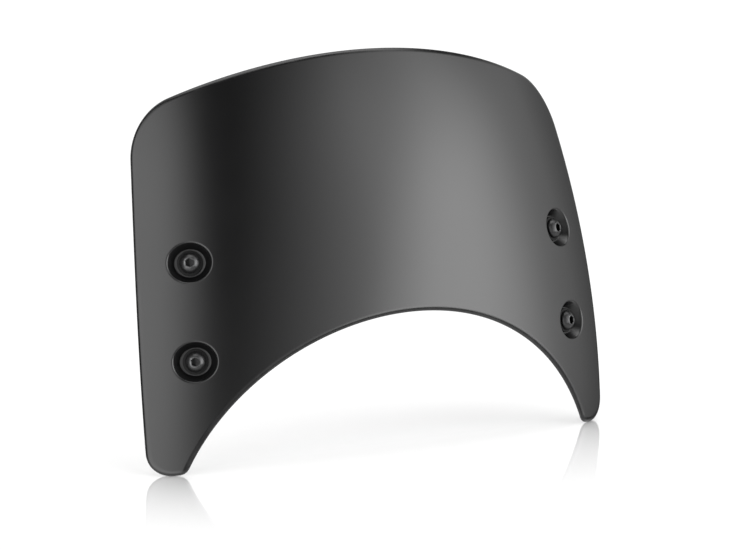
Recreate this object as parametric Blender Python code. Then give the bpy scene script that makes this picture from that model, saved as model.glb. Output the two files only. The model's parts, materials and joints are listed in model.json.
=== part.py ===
"""Windshield screen for a motorcycle headlamp: a small opaque fly screen on four socket screws.

The shell is one moulded sheet, curved across its width and again along its height, with a wide
arch at the bottom that clears a round headlamp and a leg either side of it. Each leg carries two
dished seats. A button head screw sits in each dish on a nylon washer, passes through a metal
sleeve held in a rubber grommet, and is closed behind the shell by a washer and a lock nut.

Everything is in metres. World +Z is up, the screen faces -Y and +X is across it. Left is -X, as
seen from the front. The origin is on the ground under the middle of the shell's bounding box.
"""

import math

import bmesh
import bpy
from mathutils import Euler, Matrix, Vector
from mathutils.geometry import delaunay_2d_cdt

# ---- Shell surface -----------------------------------------------------------------------------
# A place on the shell is (across, along): the distance round the curve from the middle line, and
# the height along the spine above the crown of the headlamp arch.
WRAP_RADIUS = 0.230         # curve across the screen
SPINE_RADIUS = 0.420        # curve along its height
SPINE_UPRIGHT_AT = 0.040    # height where the spine runs parallel to the screen's own z axis
FLARE = 0.95                # share by which the wrap opens, per metre down towards the legs
FLARE_ZERO_AT = 0.050       # height where the wrap has its plain radius
LEAN = math.radians(16.0)   # backward lean of the whole screen
SHEET = 0.003               # wall thickness

# ---- Shell outline -----------------------------------------------------------------------------
TOP_HEIGHT = 0.139          # middle of the top edge above the arch crown
TOP_RADIUS = 0.460
CORNER_RADIUS = 0.031
HALF_WIDTH = 0.1415         # widest place, measured round the curve
WIDEST_AT = 0.084
SIDE_RADIUS = 0.920
TIP_DEPTH = 0.0675          # leg tips below the arch crown
TIP_OUTER_RADIUS = 0.0155
TIP_INNER_RADIUS = 0.004
ARCH_HALF_WIDTH = 0.1155    # half axes of the elliptical arch
ARCH_HEIGHT = 0.0935

# ---- Dished seats ------------------------------------------------------------------------------
UPPER_SEAT = (0.1125, 0.038)
LOWER_SEAT = (0.1096, -0.012)
DISH_DEPTH = 0.0050         # the screw heads end up flush with the shell
DISH_FLOOR_RADIUS = 0.0077  # across the shell, on its front face
DISH_RIM_RADIUS = 0.0120
DISH_OVAL = 0.90            # height of a dish as a share of its width
DISH_SPREAD = 0.0014        # how much wider a dish is on the rear face
PANEL_HOLE_RADIUS = 0.0055

# ---- Fixing hardware, M6 -----------------------------------------------------------------------
GAP = 0.0003                # left between faces that touch on the real assembly
RUNNING_GAP = 0.00005       # radial, between the screw and the threads that carry it
SCREW_RADIUS = 0.0030
SCREW_LENGTH = 0.016
SCREW_TIP_CHAMFER = 0.0005
HEAD_RADIUS = 0.00525
HEAD_HEIGHT = 0.0033
HEAD_RIM_HEIGHT = 0.0007    # straight edge of the head under its dome
HEAD_FLAT_RADIUS = 0.0027   # flat ring round the socket
SOCKET_ACROSS_FLATS = 0.0040
SOCKET_DEPTH = 0.0021
SOCKET_CONE = 0.0005        # drill point at the bottom of the socket
CLEAR_HOLE_RADIUS = 0.0032  # through the washers and the sleeve
HEAD_WASHER_RADIUS = 0.0065
HEAD_WASHER_THICKNESS = 0.0010
SLEEVE_RADIUS = 0.0040
GROMMET_FLANGE_RADIUS = 0.0080
GROMMET_FLANGE_THICKNESS = 0.0015
GROMMET_LIP_HEIGHT = 0.0003  # raised outer ring of the flange, which a bracket bears on
REAR_WASHER_RADIUS = 0.0060
REAR_WASHER_THICKNESS = 0.0016
NUT_ACROSS_FLATS = 0.0100
NUT_HEIGHT = 0.0060
NUT_CHAMFER = 0.0005
NUT_COLLAR_HEIGHT = 0.0018  # round collar of the lock nut, which holds its nylon ring
NUT_COLLAR_RADIUS = 0.0047
INSERT_RADIUS = 0.0040
INSERT_HEIGHT = 0.0012

# ---- Mesh fineness -----------------------------------------------------------------------------
OUTLINE_STEP = 0.006        # longest step along the edge of the shell
GRID_STEP = 0.013           # spacing of the mesh points inside it
DISH_STEPS = 4              # rings down the front wall of a dish
TURNED_SIDES = 24           # sides of every round piece
DOME_STEPS = 4              # rings up the dome of a screw head
WELD = 1e-7                 # points nearer than this are one point
SHARP_ANGLE = math.radians(35.0)    # edges that bend more than this stay crisp
HALVINGS = 50               # steps of the search for the foot of the arch

HEX_SIDE = math.tau / 6.0   # turn from one side of a hexagon to the next
ROW_SHARE = math.sqrt(0.75)  # row spacing of a triangular grid, as a share of its step

# name: (base colour, roughness, metallic)
MATERIALS = {
    "shell_black": ((0.030, 0.030, 0.031), 0.46, 0.0),
    "screw_black": ((0.060, 0.060, 0.062), 0.38, 0.9),
    "nylon_black": ((0.012, 0.012, 0.012), 0.55, 0.0),
    "rubber_black": ((0.016, 0.016, 0.016), 0.80, 0.0),
    "sleeve_metal": ((0.62, 0.62, 0.63), 0.35, 1.0),
    "zinc_steel": ((0.55, 0.56, 0.58), 0.32, 1.0),
    "nylon_insert": ((0.05, 0.16, 0.42), 0.50, 0.0),
}


# ---- Shell surface -----------------------------------------------------------------------------
def shell_surface(across, along):
    """Front surface of the plain shell, before the dishes, in the screen's own frame."""
    turn = across / WRAP_RADIUS
    wrap = WRAP_RADIUS * (1.0 - FLARE * (along - FLARE_ZERO_AT))
    bow = (along - SPINE_UPRIGHT_AT) ** 2 / (2.0 * SPINE_RADIUS)
    return Vector((wrap * math.sin(turn), wrap * (1.0 - math.cos(turn)) + bow, along))


def shell_tangents(across, along):
    """Unit tangent round the wrap and tangent up the spine, by the surface's own derivatives."""
    turn = across / WRAP_RADIUS
    widen = 1.0 - FLARE * (along - FLARE_ZERO_AT)
    fall = -FLARE * WRAP_RADIUS
    bow_slope = (along - SPINE_UPRIGHT_AT) / SPINE_RADIUS
    round_wrap = Vector((widen * math.cos(turn), widen * math.sin(turn), 0.0))
    up_spine = Vector((fall * math.sin(turn), fall * (1.0 - math.cos(turn)) + bow_slope, 1.0))
    return round_wrap.normalized(), up_spine


def shell_normal(across, along):
    """Unit normal that points out of the front of the shell."""
    round_wrap, up_spine = shell_tangents(across, along)
    return round_wrap.cross(up_spine).normalized()


def seat_frame(seat):
    """Frame of one fixing: origin on the plain surface, +Z out of the front, +X round the wrap."""
    round_wrap, _ = shell_tangents(*seat)
    outward = shell_normal(*seat)
    upward = outward.cross(round_wrap)
    rotation = Matrix((round_wrap, upward, outward)).transposed().to_4x4()
    return Matrix.Translation(shell_surface(*seat)) @ rotation


def seats():
    """The four seats by name, as (across, along) places on the shell."""
    places = {}
    for level, (across, along) in (("upper", UPPER_SEAT), ("lower", LOWER_SEAT)):
        places[f"left_{level}"] = (-across, along)
        places[f"right_{level}"] = (across, along)
    return places


SEATS = seats()
SEAT_FRAMES = {name: seat_frame(seat) for name, seat in SEATS.items()}


def seat_place(seat, right, up):
    """The place on the shell that lies right and up of a seat, as seen along the seat's axis."""
    round_wrap, up_spine = shell_tangents(*seat)
    upward = shell_normal(*seat).cross(round_wrap)
    widen = 1.0 - FLARE * (seat[1] - FLARE_ZERO_AT)
    along = up / up_spine.dot(upward)
    across = (right - along * up_spine.dot(round_wrap)) / widen
    return Vector((seat[0] + across, seat[1] + along))


def shell_point(across, along, depth):
    """A point of the finished shell, depth behind its front face, with the dishes pressed in."""
    plain = shell_surface(across, along) - shell_normal(across, along) * depth
    for frame in SEAT_FRAMES.values():
        right, up, _ = frame.inverted() @ shell_surface(across, along)
        distance = math.hypot(right, up / DISH_OVAL) - DISH_SPREAD * depth / SHEET
        if distance < DISH_RIM_RADIUS:
            rise = (distance - DISH_FLOOR_RADIUS) / (DISH_RIM_RADIUS - DISH_FLOOR_RADIUS)
            rise = min(max(rise, 0.0), 1.0)
            blend = rise * rise * (3.0 - 2.0 * rise)
            floor = frame @ Vector((right, up, -DISH_DEPTH - depth))
            return floor.lerp(plain, blend)
    return plain


# ---- Shell outline -----------------------------------------------------------------------------
def arc(centre, radius, start, end):
    """Points on a circle from one angle to another, both ends included."""
    count = max(2, math.ceil(abs(end - start) * radius / OUTLINE_STEP) + 1)
    angles = [start + (end - start) * i / (count - 1) for i in range(count)]
    return [centre + radius * Vector((math.cos(a), math.sin(a))) for a in angles]


def bearing(centre, point):
    """Angle of a point seen from a centre."""
    return math.atan2(point.y - centre.y, point.x - centre.x)


def upper_crossing(centre_a, radius_a, centre_b, radius_b):
    """The higher of the two points where two circles cross."""
    between = centre_b - centre_a
    reach = (radius_a ** 2 - radius_b ** 2 + between.length_squared) / (2.0 * between.length)
    half_chord = math.sqrt(radius_a ** 2 - reach ** 2)
    along = between.normalized()
    sideways = Vector((-along.y, along.x)) * half_chord
    return max(centre_a + along * reach + sideways,
               centre_a + along * reach - sideways, key=lambda point: point.y)


def arch_point(angle, outside):
    """A point that stands off the elliptical arch, towards the sheet, by the given distance."""
    on_arch = Vector((ARCH_HALF_WIDTH * math.cos(angle), ARCH_HEIGHT * (math.sin(angle) - 1.0)))
    normal = Vector((math.cos(angle) / ARCH_HALF_WIDTH, math.sin(angle) / ARCH_HEIGHT))
    return on_arch + normal.normalized() * outside


def arch_foot_angle():
    """Angle on the arch where the inner fillet of a leg tip leaves it, found by halving."""
    low, high = -math.pi / 6.0, math.pi / 2.0
    for _ in range(HALVINGS):
        middle = (low + high) / 2.0
        if arch_point(middle, TIP_INNER_RADIUS).y < TIP_INNER_RADIUS - TIP_DEPTH:
            low = middle
        else:
            high = middle
    return low


def half_outline():
    """Right half of the outline, from the middle of the top edge round to the arch crown."""
    top_centre = Vector((0.0, TOP_HEIGHT - TOP_RADIUS))
    side_centre = Vector((HALF_WIDTH - SIDE_RADIUS, WIDEST_AT))
    corner = upper_crossing(top_centre, TOP_RADIUS - CORNER_RADIUS,
                            side_centre, SIDE_RADIUS - CORNER_RADIUS)
    outer_y = TIP_OUTER_RADIUS - TIP_DEPTH
    outer_reach = math.sqrt((SIDE_RADIUS - TIP_OUTER_RADIUS) ** 2 - (outer_y - WIDEST_AT) ** 2)
    outer = Vector((side_centre.x + outer_reach, outer_y))
    foot = arch_foot_angle()
    inner = arch_point(foot, TIP_INNER_RADIUS)
    inner_end = bearing(inner, arch_point(foot, 0.0))
    top_end, side_start = bearing(top_centre, corner), bearing(side_centre, corner)
    side_end = bearing(side_centre, outer)
    points = arc(top_centre, TOP_RADIUS, math.pi / 2.0, top_end)
    points += arc(corner, CORNER_RADIUS, top_end, side_start)[1:]
    points += arc(side_centre, SIDE_RADIUS, side_start, side_end)[1:]
    points += arc(outer, TIP_OUTER_RADIUS, side_end, -math.pi / 2.0)[1:]
    points += arc(inner, TIP_INNER_RADIUS, -math.pi / 2.0, inner_end % -math.tau)
    arch_count = math.ceil((math.pi / 2.0 - foot) * ARCH_HALF_WIDTH / OUTLINE_STEP)
    for i in range(1, arch_count + 1):
        points.append(arch_point(foot + (math.pi / 2.0 - foot) * i / arch_count, 0.0))
    return points


def outline():
    """The whole outline as one closed loop, clockwise from the middle of the top edge."""
    right = half_outline()
    left = [Vector((-point.x, point.y)) for point in reversed(right[1:-1])]
    return right + left


# ---- Shell mesh --------------------------------------------------------------------------------
def ring(seat, radius, oval):
    """Places on an oval round a seat, its height given as a share of its width."""
    angles = [math.tau * i / TURNED_SIDES for i in range(TURNED_SIDES)]
    return [seat_place(seat, radius * math.cos(a), radius * oval * math.sin(a)) for a in angles]


def inside(point, loop):
    """True if a point lies inside a closed loop, by counting crossings to its right."""
    crossings = 0
    for first, second in zip(loop, loop[1:] + loop[:1]):
        if (first.y > point.y) != (second.y > point.y):
            share = (point.y - first.y) / (second.y - first.y)
            if point.x < first.x + share * (second.x - first.x):
                crossings += 1
    return crossings % 2 == 1


def grid_points(loop):
    """Staggered rows of points inside the outline, clear of its edge and of the dishes."""
    row_step = GRID_STEP * ROW_SHARE
    rows = math.ceil((TOP_HEIGHT + TIP_DEPTH) / row_step)
    columns = math.ceil(HALF_WIDTH / GRID_STEP)
    points = []
    for row in range(rows + 1):
        shift = 0.5 if row % 2 else 0.0
        for column in range(-columns, columns + 1):
            point = Vector(((column + shift) * GRID_STEP, row * row_step - TIP_DEPTH))
            from_edge = min((point - other).length for other in loop)
            from_seat = min((point - Vector(seat)).length for seat in SEATS.values())
            rear_rim = DISH_RIM_RADIUS + DISH_SPREAD
            clear = from_edge > GRID_STEP / 2.0 and from_seat > rear_rim + GRID_STEP / 2.0
            if clear and inside(point, loop):
                points.append(point)
    return points


def shell_layout():
    """Flat triangles of the shell in (across, along), with the four holes left open."""
    loop = outline()
    points = list(loop)
    edges = [(i, (i + 1) % len(loop)) for i in range(len(loop))]
    wall_step = (DISH_RIM_RADIUS - DISH_FLOOR_RADIUS) / DISH_STEPS
    spread_steps = math.ceil(DISH_SPREAD / wall_step)
    radii = [DISH_FLOOR_RADIUS + wall_step * i for i in range(DISH_STEPS + spread_steps + 1)]
    holes = [ring(seat, PANEL_HOLE_RADIUS, 1.0) for seat in SEATS.values()]
    for seat, hole in zip(SEATS.values(), holes):
        first = len(points)
        edges += [(first + i, first + (i + 1) % TURNED_SIDES) for i in range(TURNED_SIDES)]
        points += hole
        for radius in radii:
            points += ring(seat, radius, DISH_OVAL)
    points += grid_points(loop)
    enclosed = 1
    flat, _, faces, *_ = delaunay_2d_cdt(points, edges, [], enclosed, WELD)
    kept = []
    for face in faces:
        middle = sum((flat[i] for i in face), Vector((0.0, 0.0))) / len(face)
        if not any(inside(middle, hole) for hole in holes):
            kept.append(tuple(face))
    return flat, kept


def shell_mesh():
    """The closed shell: front face, rear face, and walls round the outline and the holes."""
    flat, faces = shell_layout()
    mesh = bpy.data.meshes.new("screen_shell")
    builder = bmesh.new()
    front = [builder.verts.new(shell_point(p.x, p.y, 0.0)) for p in flat]
    rear = [builder.verts.new(shell_point(p.x, p.y, SHEET)) for p in flat]
    directed = set()
    for face in faces:
        builder.faces.new([front[i] for i in face])
        builder.faces.new([rear[i] for i in reversed(face)])
        directed.update(zip(face, face[1:] + face[:1]))
    for a, b in directed:
        if (b, a) not in directed:
            builder.faces.new((front[b], front[a], rear[a]))
            builder.faces.new((front[b], rear[a], rear[b]))
    loose = [vertex for vertex in builder.verts if not vertex.link_faces]
    bmesh.ops.delete(builder, geom=loose, context="VERTS")
    bmesh.ops.recalc_face_normals(builder, faces=builder.faces)
    builder.to_mesh(mesh)
    builder.free()
    return mesh


# ---- Turned pieces -----------------------------------------------------------------------------
def round_at(radius, height):
    """A round station of a profile."""
    return radius, height, False


def hex_at(across_flats, height):
    """A hexagonal station of a profile."""
    return across_flats / 2.0, height, True


def station_points(station):
    """The points of one station, or its single point where it meets the axis."""
    size, height, hexagonal = station
    if size == 0.0:
        return [Vector((0.0, 0.0, height))]
    points = []
    for i in range(TURNED_SIDES):
        angle = math.tau * i / TURNED_SIDES
        off_flat = (angle + HEX_SIDE / 2.0) % HEX_SIDE - HEX_SIDE / 2.0
        radius = size / math.cos(off_flat) if hexagonal else size
        points.append(Vector((radius * math.cos(angle), radius * math.sin(angle), height)))
    return points


def turned_mesh(name, stations, bored):
    """A piece turned from its stations, in order round its section; bored joins last to first."""
    mesh = bpy.data.meshes.new(name)
    builder = bmesh.new()
    rings = [[builder.verts.new(p) for p in station_points(s)] for s in stations]
    pairs = list(zip(rings, rings[1:]))
    if bored:
        pairs.append((rings[-1], rings[0]))
    for lower, upper in pairs:
        for i in range(TURNED_SIDES):
            j = (i + 1) % TURNED_SIDES
            corners = (lower[i % len(lower)], lower[j % len(lower)],
                       upper[j % len(upper)], upper[i % len(upper)])
            builder.faces.new(dict.fromkeys(corners))
    bmesh.ops.recalc_face_normals(builder, faces=builder.faces)
    builder.to_mesh(mesh)
    builder.free()
    mesh.shade_smooth()
    mesh.set_sharp_from_angle(angle=SHARP_ANGLE)
    return mesh


def stack_heights():
    """Heights of the fixing's faces on its own axis; zero is the plain surface of the shell."""
    floor = -DISH_DEPTH
    heights = {"head_washer": floor + GAP}
    heights["head"] = heights["head_washer"] + HEAD_WASHER_THICKNESS + GAP
    heights["sleeve_front"] = floor
    heights["grommet_flange"] = floor - SHEET - GAP
    heights["grommet_rear"] = heights["grommet_flange"] - GROMMET_FLANGE_THICKNESS
    heights["rear_washer"] = heights["grommet_rear"] - GAP
    heights["nut"] = heights["rear_washer"] - REAR_WASHER_THICKNESS - GAP
    return heights


def screw_stations(seat_height):
    """Button head screw from its tip, up the shank, over the dome and down into the socket."""
    top = seat_height + HEAD_HEIGHT
    tip = seat_height - SCREW_LENGTH
    rim = seat_height + HEAD_RIM_HEIGHT
    dome_middle = (HEAD_FLAT_RADIUS ** 2 - HEAD_RADIUS ** 2 + top ** 2 - rim ** 2)
    dome_middle /= 2.0 * (top - rim)
    dome_radius = math.hypot(HEAD_RADIUS, rim - dome_middle)
    start = math.asin(HEAD_RADIUS / dome_radius)
    end = math.asin(HEAD_FLAT_RADIUS / dome_radius)
    stations = [round_at(0.0, tip), round_at(SCREW_RADIUS - SCREW_TIP_CHAMFER, tip),
                round_at(SCREW_RADIUS, tip + SCREW_TIP_CHAMFER),
                round_at(SCREW_RADIUS, seat_height), round_at(HEAD_RADIUS, seat_height)]
    for i in range(DOME_STEPS + 1):
        lean = start + (end - start) * i / DOME_STEPS
        stations.append(round_at(dome_radius * math.sin(lean),
                                 dome_middle + dome_radius * math.cos(lean)))
    stations += [hex_at(SOCKET_ACROSS_FLATS, top), hex_at(SOCKET_ACROSS_FLATS, top - SOCKET_DEPTH),
                 round_at(0.0, top - SOCKET_DEPTH - SOCKET_CONE)]
    return stations


def ring_stations(inner, outer, rear, front):
    """A plain ring between two radii and two heights."""
    return [round_at(inner, rear), round_at(outer, rear),
            round_at(outer, front), round_at(inner, front)]


def grommet_stations(heights):
    """Rubber bush: a neck in the shell's hole, and behind it a flange with a raised outer lip."""
    bore = SLEEVE_RADIUS + GAP
    neck = PANEL_HOLE_RADIUS - GAP
    lip_inner = REAR_WASHER_RADIUS + GAP
    rear, flange = heights["grommet_rear"], heights["grommet_flange"]
    lip = rear - GROMMET_LIP_HEIGHT
    neck_front = heights["sleeve_front"] - GAP
    return [round_at(bore, rear), round_at(lip_inner, rear), round_at(lip_inner, lip),
            round_at(GROMMET_FLANGE_RADIUS, lip), round_at(GROMMET_FLANGE_RADIUS, flange),
            round_at(neck, flange), round_at(neck, neck_front), round_at(bore, neck_front)]


def nut_stations(seat_height):
    """Lock nut: chamfered hexagon, round collar, and the pocket for its nylon ring."""
    thread = SCREW_RADIUS + RUNNING_GAP
    pocket = INSERT_RADIUS + GAP
    rear = seat_height - NUT_HEIGHT
    shoulder = rear + NUT_COLLAR_HEIGHT
    pocket_floor = rear + INSERT_HEIGHT + 2.0 * GAP
    land = NUT_ACROSS_FLATS / 2.0 - NUT_CHAMFER / 2.0
    return [round_at(thread, seat_height), round_at(land, seat_height),
            hex_at(NUT_ACROSS_FLATS, seat_height - NUT_CHAMFER),
            hex_at(NUT_ACROSS_FLATS, shoulder + NUT_CHAMFER), round_at(land, shoulder),
            round_at(NUT_COLLAR_RADIUS, shoulder), round_at(NUT_COLLAR_RADIUS, rear),
            round_at(pocket, rear), round_at(pocket, pocket_floor),
            round_at(thread, pocket_floor)]


def fixing_meshes():
    """One mesh for each piece of a fixing, in the fixing's frame, with its material's name."""
    heights = stack_heights()
    washer, rear_washer = heights["head_washer"], heights["rear_washer"]
    insert_rear = heights["nut"] - NUT_HEIGHT + GAP
    sections = {
        "screw": (screw_stations(heights["head"]), False, "screw_black"),
        "head_washer": (ring_stations(CLEAR_HOLE_RADIUS, HEAD_WASHER_RADIUS, washer,
                                      washer + HEAD_WASHER_THICKNESS), True, "nylon_black"),
        "sleeve": (ring_stations(CLEAR_HOLE_RADIUS, SLEEVE_RADIUS, heights["grommet_rear"],
                                 heights["sleeve_front"]), True, "sleeve_metal"),
        "grommet": (grommet_stations(heights), True, "rubber_black"),
        "rear_washer": (ring_stations(CLEAR_HOLE_RADIUS, REAR_WASHER_RADIUS,
                                      rear_washer - REAR_WASHER_THICKNESS, rear_washer),
                        True, "zinc_steel"),
        "lock_nut": (nut_stations(heights["nut"]), True, "zinc_steel"),
        "nut_insert": (ring_stations(SCREW_RADIUS + RUNNING_GAP, INSERT_RADIUS, insert_rear,
                                     insert_rear + INSERT_HEIGHT), True, "nylon_insert"),
    }
    return {name: (turned_mesh(name, stations, bored), material)
            for name, (stations, bored, material) in sections.items()}


# ---- Assembly ----------------------------------------------------------------------------------
def clear_scene():
    """Remove whatever objects the scene already holds."""
    for old in list(bpy.data.objects):
        bpy.data.objects.remove(old, do_unlink=True)


def material(name):
    """One Principled material from the table, made once."""
    if name in bpy.data.materials:
        return bpy.data.materials[name]
    colour, roughness, metallic = MATERIALS[name]
    made = bpy.data.materials.new(name)
    made.use_nodes = True
    shader = made.node_tree.nodes["Principled BSDF"]
    shader.inputs["Base Color"].default_value = (*colour, 1.0)
    shader.inputs["Roughness"].default_value = roughness
    shader.inputs["Metallic"].default_value = metallic
    return made


def place(name, data, parent, matrix):
    """Link an object, or an empty where data is None, under its parent at a local matrix."""
    placed = bpy.data.objects.new(name, data)
    bpy.context.scene.collection.objects.link(placed)
    placed.parent = parent
    placed.matrix_local = matrix
    return placed


def screen_frame_matrix(mesh):
    """Lean the screen back and stand it on the ground, centred over the origin front to back."""
    lean = Euler((-LEAN, 0.0, 0.0)).to_matrix().to_4x4()
    leaned = [lean @ vertex.co for vertex in mesh.vertices]
    middle_y = (min(p.y for p in leaned) + max(p.y for p in leaned)) / 2.0
    ground_z = min(p.z for p in leaned)
    return Matrix.Translation((0.0, -middle_y, -ground_z)) @ lean


def build():
    """Model the shell and the four fixings."""
    clear_scene()
    mesh = shell_mesh()
    mesh.materials.append(material("shell_black"))
    mesh.shade_smooth()
    mesh.set_sharp_from_angle(angle=SHARP_ANGLE)
    screen_frame = place("screen_frame", None, None, screen_frame_matrix(mesh))
    place("screen_shell", mesh, screen_frame, Matrix.Identity(4))
    pieces = fixing_meshes()
    for piece_mesh, material_name in pieces.values():
        piece_mesh.materials.append(material(material_name))
    for place_name, seat in SEAT_FRAMES.items():
        fixing = place(f"fixing_{place_name}", None, screen_frame, seat)
        for piece_name, (piece_mesh, _) in pieces.items():
            place(f"{piece_name}_{place_name}", piece_mesh, fixing, Matrix.Identity(4))


build()
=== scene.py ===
"""Looks of the fly screen: final meshes, materials, floor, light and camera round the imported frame.

Everything is in metres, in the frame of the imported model: +Z is up and the screen faces -Y. The
shell and its four fixings are made again at a fine grain from the part's own dimensions. Each piece
stands for its CAD node and rides on that node's body.
"""

import json
import math

import bmesh
import bpy
from mathutils import Euler, Matrix, Vector
from mathutils.geometry import delaunay_2d_cdt


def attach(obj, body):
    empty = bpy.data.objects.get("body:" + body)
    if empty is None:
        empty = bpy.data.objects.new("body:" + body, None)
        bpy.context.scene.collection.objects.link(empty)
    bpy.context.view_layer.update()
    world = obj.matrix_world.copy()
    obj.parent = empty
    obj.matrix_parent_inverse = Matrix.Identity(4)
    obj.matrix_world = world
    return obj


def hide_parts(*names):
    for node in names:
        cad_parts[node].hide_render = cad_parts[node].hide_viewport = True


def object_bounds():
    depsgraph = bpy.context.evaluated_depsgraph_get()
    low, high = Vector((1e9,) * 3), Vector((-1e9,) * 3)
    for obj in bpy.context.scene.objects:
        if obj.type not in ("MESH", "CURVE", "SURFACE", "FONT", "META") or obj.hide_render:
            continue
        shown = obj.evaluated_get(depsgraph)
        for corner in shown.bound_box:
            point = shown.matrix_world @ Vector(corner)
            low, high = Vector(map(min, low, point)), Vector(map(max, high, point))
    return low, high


# ---- Shell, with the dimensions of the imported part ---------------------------
# A place on the shell is (across, along): the distance round the curve from the middle line, and
# the height along the spine above the crown of the headlamp arch.
WRAP_RADIUS = 0.230
SPINE_RADIUS = 0.420
SPINE_UPRIGHT_AT = 0.040
FLARE = 0.95
FLARE_ZERO_AT = 0.050
LEAN = math.radians(16.0)
SHEET = 0.003

TOP_HEIGHT = 0.139
TOP_RADIUS = 0.460
CORNER_RADIUS = 0.031
HALF_WIDTH = 0.1415
WIDEST_AT = 0.084
SIDE_RADIUS = 0.920
TIP_DEPTH = 0.0675
TIP_OUTER_RADIUS = 0.0155
TIP_INNER_RADIUS = 0.004
ARCH_HALF_WIDTH = 0.1155
ARCH_HEIGHT = 0.0935

UPPER_SEAT = (0.1125, 0.038)
LOWER_SEAT = (0.1096, -0.012)
DISH_DEPTH = 0.0050
DISH_FLOOR_RADIUS = 0.0077
DISH_RIM_RADIUS = 0.0120
DISH_OVAL = 0.90
DISH_SPREAD = 0.0014
PANEL_HOLE_RADIUS = 0.0055

# ---- Fixing hardware, M6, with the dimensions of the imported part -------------
GAP = 0.0003
RUNNING_GAP = 0.00005
SCREW_RADIUS = 0.0030
SCREW_LENGTH = 0.016
PITCH = 0.001
THREAD_DEPTH = 0.6134       # of a metric thread, in pitches
HEAD_RADIUS = 0.00525
HEAD_HEIGHT = 0.0033
HEAD_RIM_HEIGHT = 0.0007
HEAD_FLAT_RADIUS = 0.0027
SOCKET_ACROSS_FLATS = 0.0040
SOCKET_DEPTH = 0.0021
SOCKET_CONE = 0.0005
CLEAR_HOLE_RADIUS = 0.0032
HEAD_WASHER_RADIUS = 0.0065
HEAD_WASHER_THICKNESS = 0.0010
SLEEVE_RADIUS = 0.0040
GROMMET_FLANGE_RADIUS = 0.0080
GROMMET_FLANGE_THICKNESS = 0.0015
GROMMET_LIP_HEIGHT = 0.0003
REAR_WASHER_RADIUS = 0.0060
REAR_WASHER_THICKNESS = 0.0016
NUT_ACROSS_FLATS = 0.0100
NUT_HEIGHT = 0.0060
NUT_COLLAR_HEIGHT = 0.0018
NUT_COLLAR_RADIUS = 0.0047
INSERT_RADIUS = 0.0040
INSERT_HEIGHT = 0.0012

# ---- Finish of the edges -----------------------------------------------------
EDGE_REACH = 0.0030         # rounding of the shell's edge: how far in it starts
EDGE_DEPTH = 0.0015         # and how deep it goes, front and rear
HOLE_EDGE = 0.0003
FOOT_BEND = 0.15            # share of a dish's wall that the bend at its foot takes
RIM_BEND = 0.28             # and the bend at its rim
SOCKET_MOUTH_RADIUS = 0.00245
SOCKET_MOUTH_SLOPE = 0.8
HEX_CHAMFER_SLOPE = 0.58    # 30 degree chamfer of a hexagon's corners
WASHER_FALL = 0.0002        # how much lower a head washer is at its rim than under the head
SHANK_CHAMFER = 0.0008      # at both ends of a screw's shank
CONE_INSET = 0.0004         # a head washer's cone starts this far inside the head's rim
LIP_SLOPE = 0.0002          # how far out the inner side of a grommet's lip leans
LAND_INSET = 0.00025        # a nut's round land is this much smaller than its flats
THREAD_MOUTH = 0.0004       # countersink of a nut's thread
CRIMP_HEIGHT = 0.0004       # of the nut's collar, where it is turned in over the nylon ring
SOCKET_SHADE = 0.0004       # height over which the dark of the socket comes in, below its mouth

# Rounding radii of the turned pieces' corners.
CRISP = 0.0001
BROKEN = 0.00015
UNDER_HEAD = 0.00018
EASED = 0.0002
SOFT = 0.0003
DIE_ROLL = 0.0004
LIP_ROUND = 0.0005
COLLAR_ROUND = 0.0006

# ---- Mesh fineness -----------------------------------------------------------
OUTLINE_STEP = 0.0018
GRID_STEP = 0.0045
EDGE_STEPS = 7
DISH_STEPS = 24
DISH_SIDES = 96
TURNED_SIDES = 96
THREAD_SIDES = 48
CORNER_STEPS = 4
DOME_STEPS = 16
PROBE = 1e-5                # step for slopes worked out by small differences
WELD = 1e-8
SHARP_ANGLE = math.radians(38.0)
HALVINGS = 50
HEX_SIDE = math.tau / 6.0
ROW_SHARE = math.sqrt(0.75)

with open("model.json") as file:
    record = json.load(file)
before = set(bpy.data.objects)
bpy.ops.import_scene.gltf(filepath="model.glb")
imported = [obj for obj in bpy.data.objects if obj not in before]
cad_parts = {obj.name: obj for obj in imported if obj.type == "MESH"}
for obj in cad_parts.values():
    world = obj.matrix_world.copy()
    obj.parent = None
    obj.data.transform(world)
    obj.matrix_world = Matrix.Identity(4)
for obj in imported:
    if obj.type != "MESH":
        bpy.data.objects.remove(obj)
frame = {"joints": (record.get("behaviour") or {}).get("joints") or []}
CAD_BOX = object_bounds()


# ---- Shell surface -----------------------------------------------------------
def shell_surface(across, along):
    """Front surface of the plain shell, before the dishes, in the screen's own frame."""
    turn = across / WRAP_RADIUS
    wrap = WRAP_RADIUS * (1.0 - FLARE * (along - FLARE_ZERO_AT))
    bow = (along - SPINE_UPRIGHT_AT) ** 2 / (2.0 * SPINE_RADIUS)
    return Vector((wrap * math.sin(turn), wrap * (1.0 - math.cos(turn)) + bow, along))


def shell_tangents(across, along):
    """Unit tangent round the wrap and tangent up the spine, by the surface's own derivatives."""
    turn = across / WRAP_RADIUS
    widen = 1.0 - FLARE * (along - FLARE_ZERO_AT)
    fall = -FLARE * WRAP_RADIUS
    bow_slope = (along - SPINE_UPRIGHT_AT) / SPINE_RADIUS
    round_wrap = Vector((widen * math.cos(turn), widen * math.sin(turn), 0.0))
    up_spine = Vector((fall * math.sin(turn), fall * (1.0 - math.cos(turn)) + bow_slope, 1.0))
    return round_wrap.normalized(), up_spine


def shell_normal(across, along):
    """Unit normal that points out of the front of the shell."""
    round_wrap, up_spine = shell_tangents(across, along)
    return round_wrap.cross(up_spine).normalized()


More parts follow.
